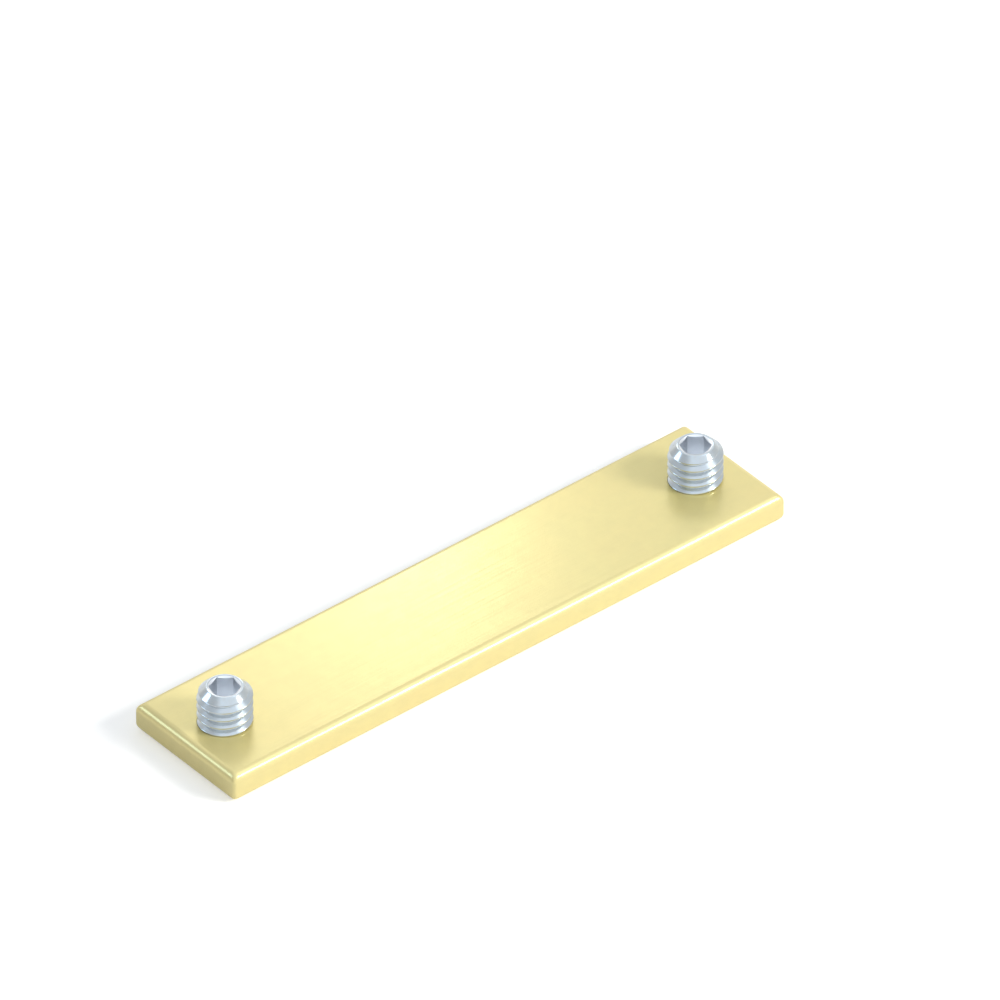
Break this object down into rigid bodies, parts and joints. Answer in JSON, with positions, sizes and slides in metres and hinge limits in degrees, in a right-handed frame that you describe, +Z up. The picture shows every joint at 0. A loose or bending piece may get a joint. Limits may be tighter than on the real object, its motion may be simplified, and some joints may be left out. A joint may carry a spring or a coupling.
{
  "type": "straight profile connector",
  "caption": "Straight profile connector: flat steel plate with rounded edges, tapped near each end, with hexagon socket set screws threaded in from above.",
  "frame": {"origin": "middle of the plate's underside, midway between the two screws", "axes": "+X along the plate's length and along the slot, +Y across the plate, +Z up out of the slot, the way the screws' sockets face"},
  "size_m": [0.075, 0.0164, 0.008],
  "materials": {
    "yellow_zinc": "yellow-passivated zinc plating, smooth satin",
    "bright_zinc": "bright zinc plating with a faint blue tone"
  },
  "bodies": {
    "plate": {"connector_plate": "yellow_zinc"},
    "left_screw": {"left_set_screw": "bright_zinc"},
    "right_screw": {"right_set_screw": "bright_zinc"}
  },
  "joints": [
    {"name": "left_screw_travel", "type": "slide", "parent": "plate", "child": "left_screw", "axis": [0, 0, 1], "range_m": [-0.004, 0.0255]},
    {"name": "right_screw_travel", "type": "slide", "parent": "plate", "child": "right_screw", "axis": [0, 0, 1], "range_m": [-0.004, 0.0255]}
  ]
}
